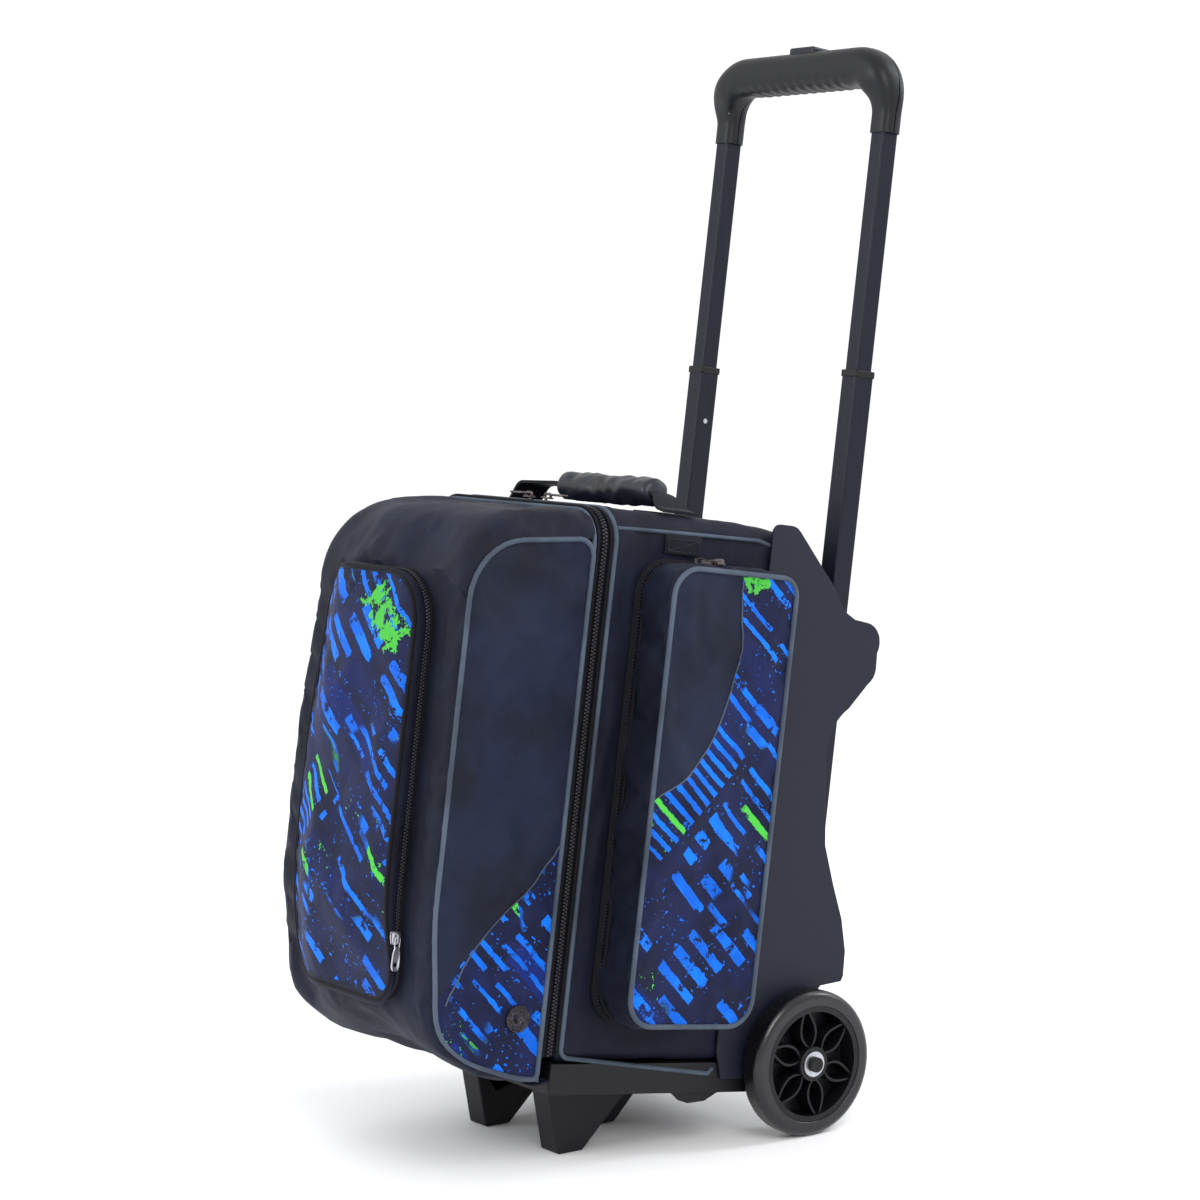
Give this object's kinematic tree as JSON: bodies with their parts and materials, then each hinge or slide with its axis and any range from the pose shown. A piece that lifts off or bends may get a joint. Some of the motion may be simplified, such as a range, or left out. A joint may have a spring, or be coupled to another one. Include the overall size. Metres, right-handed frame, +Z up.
{
  "type": "bowling ball bag",
  "caption": "Wheeled bag for two stacked bowling balls, with a zipped lid, zipped front and side pockets, moulded rear frame and telescoping pull handle.",
  "frame": {"origin": "on the floor, under the middle of the bag's box, halfway between its front and its rear", "axes": "+Z up, -Y the lid and front pocket, +Y the wheels and pull handle, +X the right side as the bag is seen from behind the handle"},
  "size_m": [0.346, 0.5314, 0.9454],
  "materials": {
    "pack_cloth": "fine plain-weave coated polyester, matt, near-black navy",
    "printed_cloth": "polyester printed with a distressed blue and green stripe pattern",
    "zip_tape": "woven zipper tape with moulded coil teeth",
    "webbing": "woven nylon webbing",
    "leatherette": "satin synthetic leather wrap",
    "moulded_frame": "satin moulded polypropylene with fine grain",
    "tube_finish": "black anodised, satin",
    "grip_plastic": "satin moulded plastic",
    "foam": "moulded closed-cell foam",
    "wheel_tyre": "glossy polyurethane tread",
    "wheel_rim": "gloss black moulded nylon",
    "steel": "bright zinc-plated steel",
    "pull_metal": "bright nickel-plated die casting",
    "dark_metal": "gunmetal finish",
    "mesh": "open polyester mesh"
  },
  "bodies": {
    "bag_body": {"base_tray": "moulded_frame", "front_feet": "moulded_frame", "centre_foot": "moulded_frame", "flank_right": "moulded_frame", "flank_left": "moulded_frame", "back_plate": "moulded_frame", "upper_bridge": "moulded_frame", "lower_bridge": "moulded_frame", "axle_housing": "moulded_frame", "axle": "steel", "axle_caps": "moulded_frame", "outer_tubes": "tube_finish", "outer_collars": "moulded_frame", "tub_back": "pack_cloth", "tub_sides": "pack_cloth", "tub_top": "pack_cloth", "tub_floor": "pack_cloth", "lower_ball_cup": "foam", "ball_shelf": "pack_cloth", "upper_ball_cup": "foam", "side_zippers": "zip_tape", "handle_anchors": "webbing"},
    "lid": {"lid_band": "pack_cloth", "lid_sides": "pack_cloth", "lid_sleeve": "mesh", "lid_badge": "dark_metal", "front_pocket_base": "zip_tape"},
    "front_pocket": {"front_pocket_panel": "printed_cloth", "front_pocket_gusset": "pack_cloth"},
    "side_pocket_right": {"side_panel_right": "printed_cloth", "side_gusset_right": "pack_cloth"},
    "side_pocket_left": {"side_panel_left": "printed_cloth", "side_gusset_left": "pack_cloth"},
    "middle_stage": {"middle_tubes": "tube_finish", "middle_collars": "moulded_frame", "middle_glides": "moulded_frame", "lock_pins": "steel"},
    "upper_stage": {"inner_tubes": "tube_finish", "inner_glides": "moulded_frame", "grip_front_shell": "grip_plastic", "grip_rear_shell": "grip_plastic", "grip_screws": "steel"},
    "release": {"release_button": "grip_plastic", "release_rods": "steel"},
    "wheel_right": {"tyre_right": "wheel_tyre", "rim_right": "wheel_rim", "bearings_right": "steel"},
    "wheel_left": {"tyre_left": "wheel_tyre", "rim_left": "wheel_rim", "bearings_left": "steel"},
    "carry_handle": {"carry_strap": "webbing", "carry_grip": "leatherette"},
    "zip_slider_right": {"lid_slider_right": "dark_metal"},
    "zip_pull_right": {"lid_pull_right": "pull_metal"},
    "zip_slider_left": {"lid_slider_left": "dark_metal"},
    "zip_pull_left": {"lid_pull_left": "pull_metal"},
    "pocket_slider": {"front_slider": "dark_metal"},
    "pocket_pull": {"front_pull": "pull_metal"},
    "side_slider_right": {"side_slider_right": "dark_metal"},
    "side_slider_left": {"side_slider_left": "dark_metal"}
  },
  "joints": [
    {"name": "lid_open", "type": "hinge", "parent": "bag_body", "child": "lid", "pos_m": [0, -0.12275, 0.08302], "axis": [1, 0, 0], "range_deg": [0, 50]},
    {"name": "front_pocket_open", "type": "hinge", "parent": "lid", "child": "front_pocket", "pos_m": [0, -0.25103, 0.15788], "axis": [1, 0, 0], "range_deg": [0, 50]},
    {"name": "side_pocket_right_open", "type": "hinge", "parent": "bag_body", "child": "side_pocket_right", "pos_m": [0.12635, 0.07629, 0.30132], "axis": [0, 0.134, 0.991], "range_deg": [0, 55]},
    {"name": "side_pocket_left_open", "type": "hinge", "parent": "bag_body", "child": "side_pocket_left", "pos_m": [-0.12635, 0.07629, 0.30132], "axis": [0, -0.134, -0.991], "range_deg": [0, 55]},
    {"name": "lower_tubes", "type": "slide", "parent": "bag_body", "child": "middle_stage", "axis": [0, 0.134, 0.991], "range_m": [-0.19, 0]},
    {"name": "upper_tubes", "type": "slide", "parent": "middle_stage", "child": "upper_stage", "axis": [0, 0.134, 0.991], "range_m": [-0.186, 0]},
    {"name": "release_press", "type": "slide", "parent": "upper_stage", "child": "release", "axis": [0, -0.134, -0.991], "range_m": [0, 0.004], "stiffness_N_per_m": 1500, "springref_m": -0.002},
    {"name": "wheel_right_spin", "type": "hinge", "parent": "bag_body", "child": "wheel_right", "pos_m": [0.1373, 0.1405, 0.0635], "axis": [1, 0, 0], "continuous": true},
    {"name": "wheel_left_spin", "type": "hinge", "parent": "bag_body", "child": "wheel_left", "pos_m": [-0.1373, 0.1405, 0.0635], "axis": [1, 0, 0], "continuous": true},
    {"name": "carry_handle_swing", "type": "hinge", "parent": "bag_body", "child": "carry_handle", "pos_m": [0, 0.02044, 0.545], "axis": [1, 0, 0], "range_deg": [-25, 25]},
    {"name": "lid_slider_right_run", "type": "slide", "parent": "bag_body", "child": "zip_slider_right", "axis": [1, 0, 0], "range_m": [0, 0.045]},
    {"name": "lid_slider_left_run", "type": "slide", "parent": "bag_body", "child": "zip_slider_left", "axis": [-1, 0, 0], "range_m": [0, 0.075]},
    {"name": "lid_pull_right_flip", "type": "hinge", "parent": "zip_slider_right", "child": "zip_pull_right", "pos_m": [0.036, -0.05969, 0.55694], "axis": [0, -0.991, 0.134], "range_deg": [0, 110]},
    {"name": "lid_pull_left_flip", "type": "hinge", "parent": "zip_slider_left", "child": "zip_pull_left", "pos_m": [0.008, -0.05969, 0.55694], "axis": [0, 0.991, -0.134], "range_deg": [0, 110]},
    {"name": "pocket_slider_run", "type": "slide", "parent": "lid", "child": "pocket_slider", "axis": [0, 0.134, 0.991], "range_m": [0, 0.24]},
    {"name": "pocket_pull_flip", "type": "hinge", "parent": "pocket_slider", "child": "pocket_pull", "pos_m": [0.0889, -0.24391, 0.20939], "axis": [0, -0.991, 0.134], "range_deg": [0, 110]},
    {"name": "side_slider_right_run", "type": "slide", "parent": "bag_body", "child": "side_slider_right", "axis": [0, 0.991, -0.134], "range_m": [-0.015, 0.04]},
    {"name": "side_slider_left_run", "type": "slide", "parent": "bag_body", "child": "side_slider_left", "axis": [0, 0.991, -0.134], "range_m": [-0.015, 0.04]}
  ]
}
